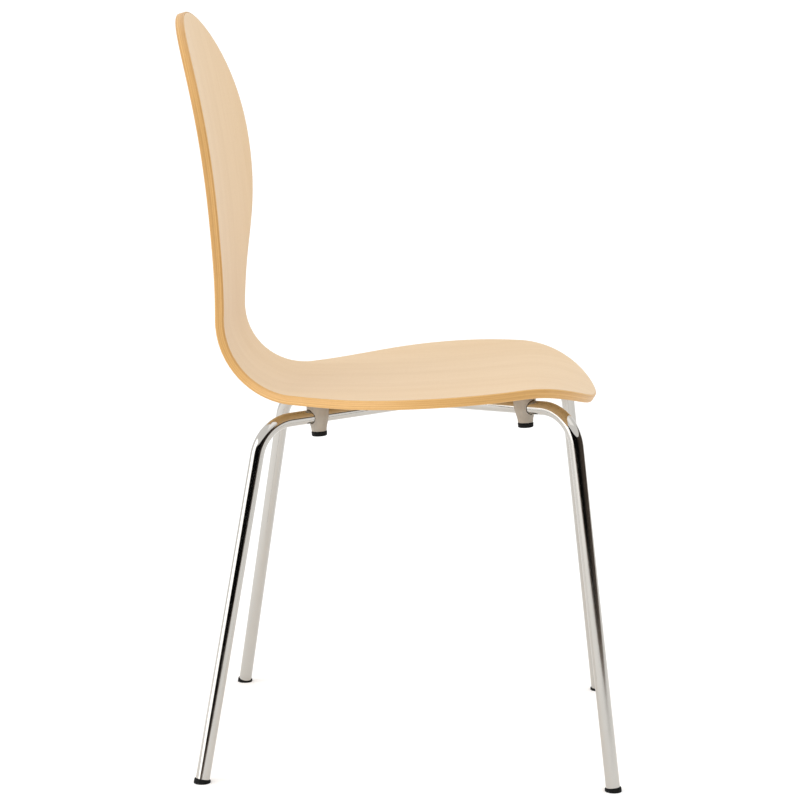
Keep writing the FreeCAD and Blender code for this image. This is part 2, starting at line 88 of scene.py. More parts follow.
SHELL_THICKNESS = 0.0103
EDGE_ROUND = 0.0017
LIP_REACH = 0.203
LIP_ANGLE = math.radians(32.0)
LIP_RADIUS = 0.1346
SEAT_RUN = 0.2602
SEAT_FRONT_ANGLE = math.radians(7.1)
SEAT_REAR_ANGLE = math.radians(0.15)
LUMBAR_RADIUS = 0.0847
BACK_ANGLE = math.radians(90.23)
BACK_RADIUS = 1.204
BACK_RISE = 0.3479
SEAT_CURVE = 0.5 / 2.296      # half the curvature across the seat
BACK_CURVE = 0.5 / 1.24
DISH_BLEND = 0.080

SEAT_HALF_WIDTH = 0.2571
SEAT_WIDEST = 0.1755
WAIST_HALF_WIDTH = 0.1051
WAIST_BEFORE_BACK = 0.0079
BACK_HALF_WIDTH = 0.1896
BACK_WIDEST = 0.1518
# how far the outline follows its tangents: at each key point, leaving and arriving
FULLNESS = [(0.631, 0.511), (0.422, 0.474), (0.413, 0.552), (0.56, 0.566)]


def mount(name):
    """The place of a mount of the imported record."""
    found = [m for m in RECORD["mounts"] if m["name"] == name]
    return Vector(found[0]["pos_m"])


# the frame's centre lies this far from the row's origin along the chair
CENTRE_Y = mount("foot_rear_left").y - REAR_FOOT_REACH
FRAME = Matrix.Translation((0, CENTRE_Y, TUBE_HEIGHT)) @ Matrix.Rotation(
    -FRAME_TILT, 4, "X")
UPRIGHT = FRAME.to_3x3() @ Vector((0, 0, 1))

# ------------------------------------------------------------ mesh helpers


def add_piece(name, mesh, slot, *replaced):
    """Put a mesh in the scene as a piece of the chair."""
    piece = bpy.data.objects.new(name, mesh)
    bpy.context.scene.collection.objects.link(piece)
    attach(piece, "root")
    if replaced:
        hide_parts(*replaced)
    return piece


def finish_mesh(bm, name, material):
    """A smooth-shaded mesh with outward normals from a bmesh."""
    bmesh.ops.recalc_face_normals(bm, faces=bm.faces)
    mesh = bpy.data.meshes.new(name)
    bm.to_mesh(mesh)
    bm.free()
    mesh.shade_smooth()
    mesh.materials.append(material)
    return mesh


def lathe(profile, steps=64):
    """A bmesh turned about Z from (radius, height) points; radius 0 closes an end."""
    bm = bmesh.new()
    rings = []
    for radius, height in profile:
        if radius == 0:
            rings.append([bm.verts.new((0, 0, height))])
            continue
        ring = []
        for step in range(steps):
            turn = 2 * math.pi * step / steps
            ring.append(bm.verts.new((radius * math.cos(turn), radius * math.sin(turn), height)))
        rings.append(ring)
    closed = rings[0][0].co != rings[-1][0].co and len(rings[0]) > 1
    pairs = list(zip(rings, rings[1:])) + ([(rings[-1], rings[0])] if closed else [])
    for lower, upper in pairs:
        for step in range(steps):
            after = (step + 1) % steps
            corners = [lower[step % len(lower)], lower[after % len(lower)],
                       upper[after % len(upper)], upper[step % len(upper)]]
            unique = list(dict.fromkeys(corners))
            if len(unique) > 2:
                bm.faces.new(unique)
    return bm


def rounded(points, radius, steps=5):
    """The same profile with each inner corner turned into a small arc."""
    result = [points[0]]
    for before, corner, after in zip(points, points[1:], points[2:]):
        before, corner, after = Vector(before), Vector(corner), Vector(after)
        back = (before - corner).normalized()
        ahead = (after - corner).normalized()
        reach = min(radius, (before - corner).length / 2.01, (after - corner).length / 2.01)
        start, end = corner + back * reach, corner + ahead * reach
        for step in range(steps + 1):
            share = step / steps
            spot = start.lerp(corner, share).lerp(corner.lerp(end, share), share)
            result.append(tuple(spot))
    result.append(points[-1])
    return result


def flipped_to(direction, origin):
    """A matrix whose Z axis points along a direction."""
    turn = Vector(direction).to_track_quat("Z", "Y").to_matrix().to_4x4()
    return Matrix.Translation(origin) @ turn


def cut_away(piece, tool_bm):
    """Subtract a closed bmesh from a piece, and keep the result in its mesh."""
    tool_mesh = bpy.data.meshes.new("tool")
    tool_bm.to_mesh(tool_mesh)
    tool_bm.free()
    tool = bpy.data.objects.new("tool", tool_mesh)
    bpy.context.scene.collection.objects.link(tool)
    cut = piece.modifiers.new("cut", "BOOLEAN")
    cut.object = tool
    cut.operation = "DIFFERENCE"
    cut.solver = "EXACT"
    graph = bpy.context.evaluated_depsgraph_get()
    result = bpy.data.meshes.new_from_object(piece.evaluated_get(graph))
    piece.modifiers.remove(cut)
    piece.data = result
    bpy.data.objects.remove(tool)
    sharpen(result)


def sharpen(mesh, angle=35):
    """Mark edges sharper than an angle, so that smooth shading stops at them."""
    mesh.shade_smooth()
    mesh.set_sharp_from_angle(angle=math.radians(angle))


# ------------------------------------------------------------ node helpers


class Nodes:
    """A short way to write a node material."""

    def __init__(self, name):
        self.material = bpy.data.materials.new(name)
        self.material.use_nodes = True
        self.tree = self.material.node_tree
        self.shader = self.tree.nodes["Principled BSDF"]

    def add(self, kind, inputs=None, **settings):
        node = self.tree.nodes.new(kind)
        for key, value in settings.items():
            setattr(node, key, value)
        for key, value in (inputs or {}).items():
            self.put(node.inputs[key], value)
        return node

    def put(self, socket, value):
        if isinstance(value, bpy.types.NodeSocket):
            self.tree.links.new(value, socket)
        else:
            socket.default_value = value

    def math(self, operation, first, second=0.0, clamp=False):
        node = self.add("ShaderNodeMath", {0: first, 1: second}, operation=operation)
        node.use_clamp = clamp
        return node.outputs[0]

    def scaled(self, vector, scale):
        node = self.add("ShaderNodeVectorMath", {0: vector, 1: scale}, operation="MULTIPLY")
        return node.outputs[0]

    def noise(self, vector, scale, detail=2.0, roughness=0.5):
        node = self.add("ShaderNodeTexNoise", {
            "Vector": vector, "Scale": scale, "Detail": detail, "Roughness": roughness})
        return node.outputs["Fac"]

    def remap(self, value, low, high, to_low=0.0, to_high=1.0):
        node = self.add("ShaderNodeMapRange", {
            "Value": value, "From Min": low, "From Max": high,
            "To Min": to_low, "To Max": to_high})
        return node.outputs[0]

    def mix(self, share, first, second, blend="MIX"):
        node = self.add("ShaderNodeMix", data_type="RGBA", blend_type=blend)
        self.put(node.inputs["Factor"], share)
        self.put(node.inputs[6], first)
        self.put(node.inputs[7], second)
        return node.outputs[2]

    def bump(self, height, strength, distance):
        node = self.add("ShaderNodeBump", {
            "Height": height, "Strength": strength, "Distance": distance})
        self.put(self.shader.inputs["Normal"], node.outputs[0])

    def set(self, **values):
        for key, value in values.items():
            self.put(self.shader.inputs[key.replace("_", " ")], value)


def colour(red, green, blue):
    """A linear colour with full opacity."""
    return (red, green, blue, 1.0)


# ------------------------------------------------------------ materials


def veneer_material():
    """Lacquered beech: faint growth figure, fibre streaks and short dark flecks."""
    n = Nodes("beech_veneer")
    grain = n.add("ShaderNodeAttribute", attribute_name="grain").outputs["Vector"]
    drift = n.noise(n.scaled(grain, (5.0, 1.2, 1.0)), 1.0, 2.0)
    figure = n.noise(n.scaled(grain, (26.0, 1.1, 1.0)), 1.0, 4.0, 0.55)
    fibres = n.noise(n.scaled(grain, (1400.0, 22.0, 1.0)), 1.0, 3.0, 0.6)
    flecks = n.noise(n.scaled(grain, (1500.0, 170.0, 1.0)), 1.0, 1.0, 0.4)
    light = colour(0.700, 0.510, 0.302)
    warm = colour(0.660, 0.462, 0.250)
    tone = n.mix(n.remap(drift, 0.35, 0.65), light, warm)
    tone = n.mix(n.remap(figure, 0.44, 0.62, 0.0, 0.30), tone, colour(0.61, 0.41, 0.205))
    tone = n.mix(n.remap(fibres, 0.40, 0.70, 0.0, 0.20), tone, colour(0.56, 0.37, 0.180))
    tone = n.mix(n.remap(flecks, 0.64, 0.74, 0.0, 0.28), tone, colour(0.44, 0.27, 0.13))
    # the outer face (under the seat and behind the back) is tinted slightly darker and more
    # golden: painted warm shade of that shaded side
    depth = n.add("ShaderNodeSeparateXYZ", {0: grain}).outputs["Z"]
    outer = n.remap(depth, SHELL_THICKNESS * 0.4, SHELL_THICKNESS * 0.6)
    tone = n.mix(outer, tone, colour(1.0, 0.88, 0.64), "MULTIPLY")
    n.set(Base_Color=tone, Roughness=n.remap(fibres, 0.3, 0.7, 0.40, 0.50))
    n.set(Specular_IOR_Level=0.35, Coat_Weight=0.05, Coat_Roughness=0.25)
    n.bump(fibres, 0.12, 0.0004)
    return n.material


def ply_material():
    """The cut edge: alternating plies with thin dark glue lines, sanded and lacquered."""
    plies = 9
    n = Nodes("ply_edge")
    grain = n.add("ShaderNodeAttribute", attribute_name="grain").outputs["Vector"]
    parts = n.add("ShaderNodeSeparateXYZ", {0: grain}).outputs
    waver = n.noise(n.scaled(grain, (14.0, 14.0, 0.0)), 1.0, 2.0)
    depth = n.math("MULTIPLY", parts["Z"], plies / SHELL_THICKNESS)
    depth = n.math("ADD", depth, n.remap(waver, 0.3, 0.7, -0.12, 0.12))
    share = n.math("FRACT", depth)
    glue = n.math("PINGPONG", depth, 0.5)
    glue = n.remap(glue, 0.02, 0.16, 0.30, 0.0)
    cross = n.math("GREATER_THAN", n.math("FRACT", n.math("MULTIPLY", depth, 0.5)), 0.5)
    pores = n.noise(n.scaled(grain, (900.0, 900.0, 2600.0)), 1.0, 2.0, 0.7)
    streak = n.noise(n.scaled(grain, (60.0, 60.0, 2200.0)), 1.0, 2.0, 0.6)
    band = n.noise(n.scaled(grain, (1.6, 1.6, 330.0)), 1.0, 2.0, 0.6)
    tone = n.mix(cross, colour(0.645, 0.385, 0.122), colour(0.55, 0.290, 0.076))
    tone = n.mix(n.remap(band, 0.42, 0.60, 0.0, 0.80), tone, colour(0.44, 0.225, 0.056))
    tone = n.mix(n.remap(streak, 0.35, 0.7, 0.0, 0.35), tone, colour(0.68, 0.41, 0.165))
    tone = n.mix(n.remap(pores, 0.5, 0.8, 0.0, 0.45), tone, colour(0.34, 0.165, 0.050))
    tone = n.mix(glue, tone, colour(0.27, 0.125, 0.035))
    n.set(Base_Color=tone, Roughness=n.remap(pores, 0.3, 0.7, 0.42, 0.58))
    n.set(Coat_Weight=0.10, Coat_Roughness=0.3)
    n.bump(n.math("SUBTRACT", share, glue), 0.15, 0.0002)
    return n.material


def chrome_material(name="chrome", rough=0.05):
    """Bright chromium plate with faint drawing lines and a little dust."""
    n = Nodes(name)
    place = n.add("ShaderNodeTexCoord").outputs["Object"]
    dust = n.noise(n.scaled(place, (60.0, 60.0, 9.0)), 1.0, 4.0, 0.6)
    lines = n.noise(n.scaled(place, (900.0, 900.0, 12.0)), 1.0, 2.0, 0.5)
    tone = n.mix(n.remap(dust, 0.4, 0.75, 0.0, 0.35), colour(0.495, 0.477, 0.446),
                 colour(0.440, 0.422, 0.390))
    n.set(Base_Color=tone, Metallic=1.0)
    n.set(Roughness=n.remap(dust, 0.35, 0.75, rough, rough + 0.08))
    n.bump(lines, 0.03, 0.0002)
    return n.material


def plastic_material():
    """Warm grey moulded plastic with a fine spark-eroded texture."""
    n = Nodes("spacer_plastic")
    place = n.add("ShaderNodeTexCoord").outputs["Object"]
    patch = n.noise(place, 90.0, 3.0)
    texture = n.noise(place, 2600.0, 2.0)
    tone = n.mix(n.remap(patch, 0.35, 0.65), colour(0.315, 0.275, 0.225),
                 colour(0.350, 0.310, 0.258))
    n.set(Base_Color=tone, Roughness=n.remap(texture, 0.3, 0.7, 0.48, 0.62))
    n.bump(texture, 0.12, 0.0003)
    return n.material


def rubber_material(name, tone_value, wear):
    """Black rubber or plastic, paler where it has rubbed."""
    n = Nodes(name)
    place = n.add("ShaderNodeTexCoord").outputs["Object"]
    patch = n.noise(place, 240.0, 4.0, 0.65)
    grit = n.noise(place, 3200.0, 2.0)
    dark = colour(tone_value, tone_value, tone_value * 1.04)
    worn = colour(wear, wear * 0.97, wear * 0.93)
    tone = n.mix(n.remap(patch, 0.45, 0.75, 0.0, 0.5), dark, worn)
    n.set(Base_Color=tone, Roughness=n.remap(grit, 0.3, 0.7, 0.50, 0.68))
    n.set(Specular_IOR_Level=0.10)
    n.bump(grit, 0.2, 0.0002)
    return n.material


def screw_material():
    """Zinc-plated steel with slightly cloudy plating."""
    n = Nodes("zinc_screw")
    place = n.add("ShaderNodeTexCoord").outputs["Object"]
    cloud = n.noise(place, 320.0, 4.0, 0.6)
    tone = n.mix(cloud, colour(0.62, 0.62, 0.60), colour(0.76, 0.76, 0.74))
    n.set(Base_Color=tone, Metallic=1.0, Roughness=n.remap(cloud, 0.3, 0.7, 0.22, 0.36))
    n.bump(cloud, 0.1, 0.0001)
    return n.material


def brass_material():
    """Turned brass with slight clouding."""
    n = Nodes("brass_insert")
    place = n.add("ShaderNodeTexCoord").outputs["Object"]
    cloud = n.noise(place, 400.0, 3.0, 0.6)
    tone = n.mix(cloud, colour(0.70, 0.50, 0.20), colour(0.80, 0.62, 0.30))
    n.set(Base_Color=tone, Metallic=1.0, Roughness=n.remap(cloud, 0.3, 0.7, 0.25, 0.4))
    return n.material


def floor_material():
    """A matte, almost white studio floor."""
    n = Nodes("pale_floor")
    place = n.add("ShaderNodeTexCoord").outputs["Object"]
    patch = n.noise(place, 0.8, 2.0)
    tone = n.mix(patch, colour(0.90, 0.90, 0.90), colour(0.92, 0.92, 0.92))
    n.set(Base_Color=tone, Roughness=0.8, Specular_IOR_Level=0.1)
    # it glows a little, so that shadows on it stay faint
    n.set(Emission_Color=colour(1.0, 1.0, 1.0), Emission_Strength=0.12)
    return n.material


# ------------------------------------------------------------ the shell


class Section:
    """The shell's mid-plane section as arcs, and its sitting surface as a formula."""

    def __init__(self):
        back_end = math.acos(math.cos(BACK_ANGLE) + BACK_RISE / BACK_RADIUS)
        self.seat_radius = SEAT_RUN / (math.sin(SEAT_FRONT_ANGLE) + math.sin(SEAT_REAR_ANGLE))
        # each arc: angle at its start, angle at its end, radius (negative turns down)
        self.arcs = [
            (LIP_ANGLE, -SEAT_FRONT_ANGLE, -LIP_RADIUS),
            (-SEAT_FRONT_ANGLE, SEAT_REAR_ANGLE, self.seat_radius),
            (SEAT_REAR_ANGLE, BACK_ANGLE, LUMBAR_RADIUS),
            (BACK_ANGLE, back_end, -BACK_RADIUS),
        ]
        lengths = [abs(radius * (end - start)) for start, end, radius in self.arcs]
        self.length = sum(lengths)
        self.bend_start = lengths[0] + lengths[1]
        self.bend_end = self.bend_start + lengths[2]
        # the height is measured on a section that starts at zero, then set
        self.origin = (0.0, 0.0)
        self.origin = (CENTRE_Y - LIP_REACH, self.tip_height())

    def tip_height(self):
        """Height of the tip, so that the underside meets the centre plate."""
        lip_run = LIP_RADIUS * (math.sin(SEAT_FRONT_ANGLE) + math.sin(LIP_ANGLE))
        sine = -math.sin(SEAT_FRONT_ANGLE) + (LIP_REACH - lip_run) / self.seat_radius
        angle = math.asin(sine)
        lengthwise = (LIP_RADIUS * (SEAT_FRONT_ANGLE + LIP_ANGLE)
                      + self.seat_radius * (angle + SEAT_FRONT_ANGLE))
        above = self.at(np.array([lengthwise]))[1][0] - SHELL_THICKNESS / math.cos(angle)
        stack = (TUBE_RADIUS + PLATE_THICKNESS) / math.cos(FRAME_TILT)
        return TUBE_HEIGHT + stack - above

    def at(self, lengthwise):
        """Arrays of Y, Z and angle of the section at these lengths from the tip."""
        along = np.full_like(lengthwise, self.origin[0])
        height = np.full_like(lengthwise, self.origin[1])
        angle = np.full_like(lengthwise, self.arcs[0][0])
        left = lengthwise.copy()
        for start, end, radius in self.arcs:
            span = abs(radius * (end - start))
            step = np.clip(left, 0, span)
            turned = start + step / radius
            along += radius * (np.sin(turned) - math.sin(start))
            height -= radius * (np.cos(turned) - math.cos(start))
            angle = np.where(left > 0, turned, angle)
            left = left - span
        return along, height, angle

    def curve(self, lengthwise):
        """Half the curvature across the chair, blended through the lumbar bend."""
        start = self.bend_start - DISH_BLEND
        share = np.clip((lengthwise - start) / (self.bend_end + DISH_BLEND - start), 0, 1)
        return SEAT_CURVE + (BACK_CURVE - SEAT_CURVE) * share * share * (3 - 2 * share)

    def point(self, across, lengthwise, depth):
        """Points of the sitting surface, moved in along its normal."""
        along, height, angle = self.at(lengthwise)
        curve = self.curve(lengthwise)
        slope = 2 * curve * across
        unit = 1 / np.sqrt(1 + slope * slope)
        rise = curve * across * across - depth * unit
        return np.stack([
            across + depth * slope * unit,
            along - np.sin(angle) * rise,
            height + np.cos(angle) * rise,
        ], axis=-1)


def outline_rows(section, steps=44):
    """Half-width and length of the outline from tip to top, four Bezier curves."""
    keys = [
        (0.0, 0.0), (SEAT_HALF_WIDTH, SEAT_WIDEST),
        (WAIST_HALF_WIDTH, section.bend_end - WAIST_BEFORE_BACK),
        (BACK_HALF_WIDTH, section.length - BACK_WIDEST), (0.0, section.length),
    ]
    rows = []
    for number, (leave, arrive) in enumerate(FULLNESS):
        start, end = np.array(keys[number]), np.array(keys[number + 1])
        run = end[1] - start[1]
        out = np.array([0.0, run * leave])
        back = np.array([0.0, -run * arrive])
        if number == 0:
            out = np.array([end[0] * leave, 0.0])
        if number == len(FULLNESS) - 1:
            back = np.array([start[0] * arrive, 0.0])
        share = np.linspace(0, 1, steps, endpoint=False)[:, None]
        rows.append((1 - share) ** 3 * start + 3 * (1 - share) ** 2 * share * (start + out)
                    + 3 * (1 - share) * share ** 2 * (end + back) + share ** 3 * end)
    rows.append(np.array([keys[-1]]))
    return np.concatenate(rows)


def outward_normals(rows):
    """The outline's unit normals, away from the shell's middle line."""
    tangent = np.gradient(rows, axis=0)
    tangent[0] = (1, 0)
    tangent[-1] = (-1, 0)
    tangent /= np.linalg.norm(tangent, axis=1)[:, None]
    return np.stack([tangent[:, 1], -tangent[:, 0]], axis=1)


def rim_profile(steps=5):
    """The rim's cross-section: how far inside the outline, and how deep."""
    rounding = []
    for step in range(1, steps + 1):
        turn = math.pi / 2 * step / steps
        rounding.append((EDGE_ROUND * (1 - math.sin(turn)), EDGE_ROUND * (1 - math.cos(turn))))
    wall = SHELL_THICKNESS - 2 * EDGE_ROUND
    flat = [(0.0, EDGE_ROUND + wall * share) for share in (0.25, 0.5, 0.75)]
    mirrored = [(inset, SHELL_THICKNESS - depth) for inset, depth in reversed(rounding)]
    return rounding + flat + mirrored


def make_shell(veneer, ply):
    """Two faces on the same rows, joined by a rounded rim that shows the plies."""
    section = Section()
    rows = outline_rows(section)
    outward = outward_normals(rows)
    columns = np.linspace(-1, 1, 49)

    bm = bmesh.new()
    layer = bm.verts.layers.float_vector.new("grain")

    def vertex(across, lengthwise, depth):
        spot = section.point(np.array([across]), np.array([lengthwise]), depth)[0]
        made = bm.verts.new(spot)
        made[layer] = (across, lengthwise, depth)
        return made

    def sheet(depth):
        inner = rows - outward * EDGE_ROUND
        grid = [[vertex(0.0, inner[0][1], depth)]]
        for half, lengthwise in inner[1:-1]:
            grid.append([vertex(half * share, lengthwise, depth) for share in columns])
        grid.append([vertex(0.0, inner[-1][1], depth)])
        for lower, upper in zip(grid, grid[1:]):
            for left in range(len(columns) - 1):
                corners = [lower[left % len(lower)], lower[(left + 1) % len(lower)],
                           upper[(left + 1) % len(upper)], upper[left % len(upper)]]
                bm.faces.new(list(dict.fromkeys(corners)))
        return [grid[0][0]] + [row[-1] for row in grid[1:-1]] + [grid[-1][0]] + [
            row[0] for row in reversed(grid[1:-1])]

    full_rows = np.concatenate([rows, rows[-2:0:-1] * (-1, 1)])
    full_out = np.concatenate([outward, outward[-2:0:-1] * (-1, 1)])

    loops = [sheet(0.0)]
    for inset, depth in rim_profile():
        edge = full_rows - full_out * inset
        loops.append([vertex(half, lengthwise, depth) for half, lengthwise in edge])
    loops.append(sheet(SHELL_THICKNESS))
    for upper, lower in zip(loops, loops[1:]):
        for number in range(len(upper)):
            after = (number + 1) % len(upper)
            face = bm.faces.new([upper[number], upper[after], lower[after], lower[number]])
            face.material_index = 1
    mesh = finish_mesh(bm, "plywood_shell", veneer)
    mesh.materials.append(ply)
    return add_piece("plywood_shell", mesh, "plywood", "seat_shell")


# ------------------------------------------------------------ the tube frame


class Hoop:
    """Where one hoop runs: its corners, its spacers and its feet."""

    def __init__(self, end):
        turn = ENDS[end]
        reach, spread = TOP_REACH[end], TOP_SPREAD[end]
        crest = HOOP_GAP / 2 + TUBE_RADIUS
        away = Vector((spread, reach - crest - MIDDLE_BEND))
        angle = math.atan2(away.y, away.x) + math.asin(MIDDLE_BEND / away.length)
        middle = reach - spread * math.tan(angle)
        self.end = end
        self.middle = FRAME @ Vector((0, turn * middle, 0))
        self.tops, self.feet, self.starts, self.arms, self.along = {}, {}, {}, {}, {}
        out = (SPACER_REACH[end] - middle) / math.tan(angle)
        for side, sign in SIDES.items():
            top = FRAME @ Vector((sign * spread, turn * reach, 0))
            foot = mount(f"foot_{end}_{side}")
            self.tops[side] = top
            self.feet[side] = foot
            self.starts[side] = foot + (top - foot).normalized() * GLIDE_HEIGHT
            self.arms[side] = FRAME @ Vector((sign * out, turn * SPACER_REACH[end], 0))
            direction = Vector((sign * math.cos(angle), turn * math.sin(angle), 0))
            self.along[side] = FRAME.to_3x3() @ direction

    def path(self):
        """Points and directions along the centre line, dense only in the bends."""
        corners = [self.starts["left"], self.tops["left"], self.middle,
                   self.tops["right"], self.starts["right"]]
        radii = [LEG_BEND, MIDDLE_BEND, LEG_BEND]
        points = [corners[0]]
        for before, corner, after, radius in zip(corners, corners[1:], corners[2:], radii):
            back = (before - corner).normalized()
            ahead = (after - corner).normalized()
            half = back.angle(ahead) / 2
            centre = corner + (back + ahead).normalized() * radius / math.sin(half)
            start = corner + back * radius / math.tan(half) - centre
            end = corner + ahead * radius / math.tan(half) - centre
            sweep = math.pi - 2 * half
            for share in np.linspace(0, 1, 33):
                spot = (start * math.sin((1 - share) * sweep) + end * math.sin(share * sweep))
                points.append(centre + spot / math.sin(sweep))
        points.append(corners[-1])
        return spaced(points, 0.03)


def spaced(points, longest):
    """The same line with its long runs divided."""
    result = [points[0]]
    for before, after in zip(points, points[1:]):
        count = max(1, math.ceil((after - before).length / longest))
        result += [before.lerp(after, step / count) for step in range(1, count + 1)]
    return result


def sweep_rings(bm, points, radii, steps=40):
    """Rings of given radii along a line, joined to a tube; the ring lists are returned."""
    rings = []
    normal = None
    for number, point in enumerate(points):
        ahead = points[min(number + 1, len(points) - 1)]
        behind = points[max(number - 1, 0)]
        direction = (ahead - behind).normalized()
        if normal is None:
            normal = direction.orthogonal().normalized()
        normal = (normal - direction * normal.dot(direction)).normalized()
        side = direction.cross(normal)
        ring = []
        for step in range(steps):
            turn = 2 * math.pi * step / steps
            offset = normal * math.cos(turn) + side * math.sin(turn)
            ring.append(bm.verts.new(point + offset * radii[number]))
        rings.append(ring)
    for lower, upper in zip(rings, rings[1:]):
        bridge(bm, lower, upper)
    return rings


def bridge(bm, lower, upper):
    """Join two rings of as many vertices with a band of faces."""
    for step in range(len(lower)):
        after = (step + 1) % len(lower)
        bm.faces.new([lower[step], lower[after], upper[after], upper[step]])


def make_hoop(hoop, chrome):
    """The bent tube, with a short bore at each end for the glide's stem."""
    points = hoop.path()
    bm = bmesh.new()
    outer = sweep_rings(bm, points, [TUBE_RADIUS] * len(points))
    for ring, inward in ((outer[0], points[1] - points[0]), (outer[-1], points[-2] - points[-1])):
        centre = sum((v.co for v in ring), Vector()) / len(ring)
        share = 1 - TUBE_WALL / TUBE_RADIUS
        lip = [bm.verts.new(centre + (v.co - centre) * share) for v in ring]
        deep = [bm.verts.new(v.co + inward.normalized() * BORE_DEPTH) for v in lip]
        bridge(bm, ring, lip)
        bridge(bm, lip, deep)
        bm.faces.new(deep)
    name = f"{hoop.end}_tube"
    mesh = finish_mesh(bm, name, chrome)
    sharpen(mesh, 50)
    return add_piece(name, mesh, "chrome", f"{hoop.end}_hoop")


def make_spacer(hoop, side, plastic):
    """A tapered block around the tube; its top is hidden inside the shell."""
    screw_way = 0.0030
    profile = rounded([
        (COUNTERBORE_RADIUS, COUNTERBORE_DEPTH), (COUNTERBORE_RADIUS, 0.0),
        (SPACER_TIP_RADIUS, 0.0), (0.0089, 0.0040), (0.0108, 0.0110), (0.0124, 0.0165),
        (0.0129, 0.0240), (SPACER_RADIUS, SPACER_LENGTH),
        (screw_way, SPACER_LENGTH), (screw_way, COUNTERBORE_DEPTH),
    ], 0.0035, 4)
    bm = lathe(profile, 72)
    place = flipped_to(UPRIGHT, hoop.arms[side] - UPRIGHT * SPACER_BELOW)
    bm.transform(place)
    name = f"spacer_block_{hoop.end}_{side}"
    node = f"spacer_{hoop.end}_{side}"
    piece = add_piece(name, finish_mesh(bm, name, plastic), "spacer_plastic", node)
    reach, radius = 0.030, TUBE_RADIUS + SEAM_GAP
    way = lathe([(0, -reach), (radius, -reach), (radius, reach), (0, reach)], 48)
    bmesh.ops.recalc_face_normals(way, faces=way.faces)
    way.transform(flipped_to(hoop.along[side], hoop.arms[side]))
    cut_away(piece, way)
    return piece


def make_buffer(hoop, side, rubber):
    """A flat-ended button that plugs into the spacer's counterbore."""
    plug = 0.0085
    bm = lathe(rounded([
        (0.0, 0.0), (0.0076, 0.0), (0.0088, 0.0006), (BUFFER_RADIUS, 0.0042),
        (BUFFER_RADIUS, BUFFER_HEIGHT), (COUNTERBORE_RADIUS, BUFFER_HEIGHT),
        (COUNTERBORE_RADIUS, plug), (0.0, plug),
    ], 0.0009, 4))
    start = hoop.arms[side] - UPRIGHT * (SPACER_BELOW + BUFFER_HEIGHT)
    bm.transform(flipped_to(UPRIGHT, start))
    node = f"buffer_{hoop.end}_{side}"
    name = f"stack_button_{hoop.end}_{side}"
    return add_piece(name, finish_mesh(bm, name, rubber), "buffer_rubber", node)


def make_glide(hoop, side, rubber):
    """A foot on the end of the tube, cut flat where it meets the floor."""
    up = (hoop.tops[side] - hoop.feet[side]).normalized()
    below, rim, stem = -0.006, GLIDE_HEIGHT, GLIDE_HEIGHT + STEM_LENGTH
    bm = lathe(rounded([
        (0.0, below), (0.0090, below), (GLIDE_RADIUS, rim - 0.0035), (0.0093, rim),
        (STEM_RADIUS, rim), (STEM_RADIUS, stem), (0.0, stem),
    ], 0.0012, 4))
    bm.transform(flipped_to(up, hoop.feet[side]))
    floor_cut = bmesh.ops.bisect_plane(
        bm, geom=bm.verts[:] + bm.edges[:] + bm.faces[:], plane_co=(0, 0, 0),
        plane_no=(0, 0, 1), clear_inner=True)
    rim_edges = [e for e in floor_cut["geom_cut"] if isinstance(e, bmesh.types.BMEdge)]
    bmesh.ops.contextual_create(bm, geom=rim_edges)
    node = f"glide_{hoop.end}_{side}"
    name = f"foot_{hoop.end}_{side}"
    mesh = finish_mesh(bm, name, rubber)
    sharpen(mesh, 40)
    return add_piece(name, mesh, "glide_plastic", node)


def plate_screw_spot(quarter):
    """Where the head of one of the centre plate's screws starts."""
    turn = Matrix.Rotation(math.pi / 2 * quarter, 4, "Z")
    return FRAME @ turn @ Vector((SCREW_CIRCLE, 0, TUBE_RADIUS - SCREW_HEAD_HEIGHT))


def make_plate_screws(zinc):
    """Four pan heads with hexagon sockets under the centre plate."""
    bm = bmesh.new()
    for quarter in range(4):
        head = lathe(rounded([
            (0.0, 0.0), (0.0036, 0.0), (SCREW_HEAD_RADIUS, 0.0014),
            (SCREW_HEAD_RADIUS, SCREW_HEAD_HEIGHT), (0.0025, SCREW_HEAD_HEIGHT),
            (0.0025, 0.0115), (0.0, 0.0115),
        ], 0.0008, 3), 40)
        head.transform(flipped_to(UPRIGHT, plate_screw_spot(quarter)))
        part = bpy.data.meshes.new("head")
        head.to_mesh(part)
        head.free()
        bm.from_mesh(part)
    mesh = finish_mesh(bm, "plate_pan_screws", zinc)
    piece = add_piece("plate_pan_screws", mesh, "screw_steel", "plate_screws")
    for quarter in range(4):
        socket = lathe([(0, -0.002), (0.0017, -0.002), (0.0017, 0.0016), (0, 0.0016)], 6)
        bmesh.ops.recalc_face_normals(socket, faces=socket.faces)
        socket.transform(flipped_to(UPRIGHT, plate_screw_spot(quarter)))
        cut_away(piece, socket)
    return piece


def make_welds(hoops, chrome):
    """Rippled beads where each arm leaves the middle bend and meets the plate."""
    rng = random.Random(7)
    bm = bmesh.new()
    for hoop in hoops:
        for side in SIDES:
            along = hoop.along[side]
            across = along.cross(UPRIGHT)
            start = hoop.middle + along * WELD_START
            for sign in (1, -1):
                line, radii = [], []
                for step in range(25):
                    share = step / 24
                    line.append(start + along * WELD_LENGTH * share + across * sign * 0.0046
                                + UPRIGHT * (TUBE_RADIUS - 0.0012))
                    fade = min(1.0, 6 * share, 6 * (1 - share)) + 0.02
                    ripple = 1 + 0.12 * math.sin(step * 2.2) + rng.uniform(-0.04, 0.04)
                    radii.append(WELD_RADIUS * math.sqrt(fade) * ripple)
                rings = sweep_rings(bm, line, radii, 14)
                bm.faces.new(rings[0])
                bm.faces.new(rings[-1])
    mesh = finish_mesh(bm, "weld_beads", chrome)
    return add_piece("weld_beads", mesh, "chrome")


# ------------------------------------------------------------ stage, light and camera


